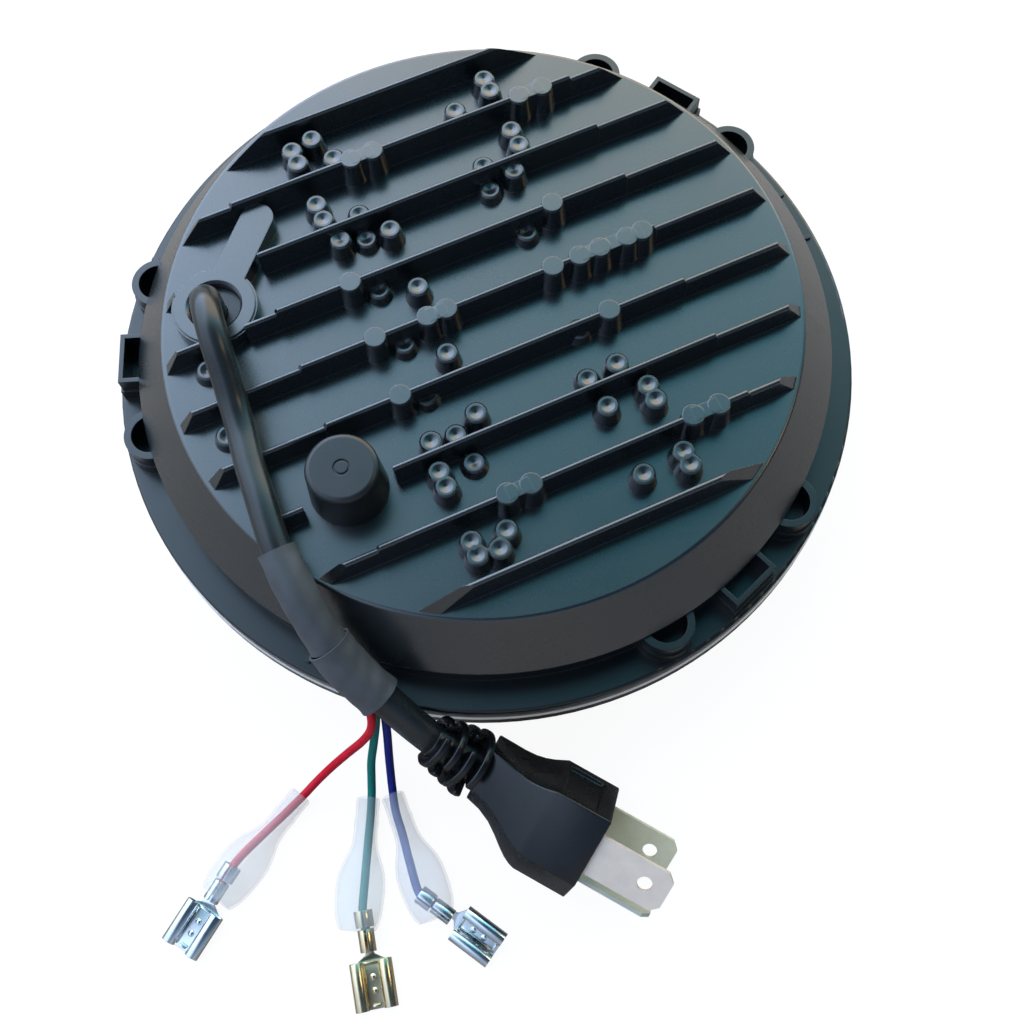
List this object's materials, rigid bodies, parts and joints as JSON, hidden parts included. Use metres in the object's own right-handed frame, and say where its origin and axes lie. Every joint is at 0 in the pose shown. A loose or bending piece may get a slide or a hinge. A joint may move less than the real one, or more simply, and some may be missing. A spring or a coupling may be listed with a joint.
{
  "type": "round motorcycle headlight",
  "caption": "Round LED motorcycle headlight with a clear lens, a flanged mounting ring, a finned cast back and a cord with a bladed plug and booted push-on terminals.",
  "frame": {"origin": "on the lamp's axis at the front face of the lens, the plane that the lamp lies on", "axes": "+Z along the lamp's axis from the lens towards the finned back, +X across and +Y away from the plug"},
  "size_m": [0.1466, 0.1974, 0.0561],
  "materials": {
    "clear_lens": "clear, polished",
    "seal_rubber": "matt",
    "black_ring": "satin black",
    "black_cast_aluminium": "satin black coat",
    "screw_steel": "plain",
    "bezel_plastic": "matt black",
    "milky_guide": "milky",
    "circuit_board": "white solder mask",
    "projector_lens": "clear, polished",
    "bright_reflector": "mirror",
    "driver_board": "green solder mask",
    "cord_rubber": "satin black",
    "cap_rubber": "satin black",
    "shrink_sleeve": "grey black, slightly rough",
    "plug_plastic": "moulded, satin",
    "contact_metal": "tinned, dull",
    "red_insulation": "satin",
    "green_insulation": "satin",
    "blue_insulation": "satin",
    "clear_boot": "clear, soft",
    "tinned_terminal": "tinned",
    "brass_terminal": "plain brass"
  },
  "bodies": {
    "root": {"lens": "clear_lens", "lens_seal": "seal_rubber", "mounting_ring": "black_ring", "housing_gasket": "seal_rubber", "rear_housing": "black_cast_aluminium", "housing_screws": "screw_steel", "inner_bezel": "bezel_plastic", "halo_light_guide": "milky_guide", "halo_board": "circuit_board", "low_beam_lens": "projector_lens", "high_beam_lens": "projector_lens", "low_beam_reflector": "bright_reflector", "high_beam_reflector": "bright_reflector", "low_beam_board": "circuit_board", "high_beam_board": "circuit_board", "driver_board": "driver_board", "board_screws": "screw_steel", "cable_gland": "cord_rubber", "breather_cap": "cap_rubber", "main_cable": "cord_rubber", "upper_sleeve": "shrink_sleeve", "lower_sleeve": "shrink_sleeve", "plug_lead": "cord_rubber", "plug_body": "plug_plastic", "front_blade": "contact_metal", "rear_blade": "contact_metal", "side_blade": "contact_metal", "red_wire": "red_insulation", "green_wire": "green_insulation", "blue_wire": "blue_insulation", "red_boot": "clear_boot", "green_boot": "clear_boot", "blue_boot": "clear_boot", "red_terminal": "tinned_terminal", "green_terminal": "brass_terminal", "blue_terminal": "tinned_terminal"}
  },
  "joints": []
}
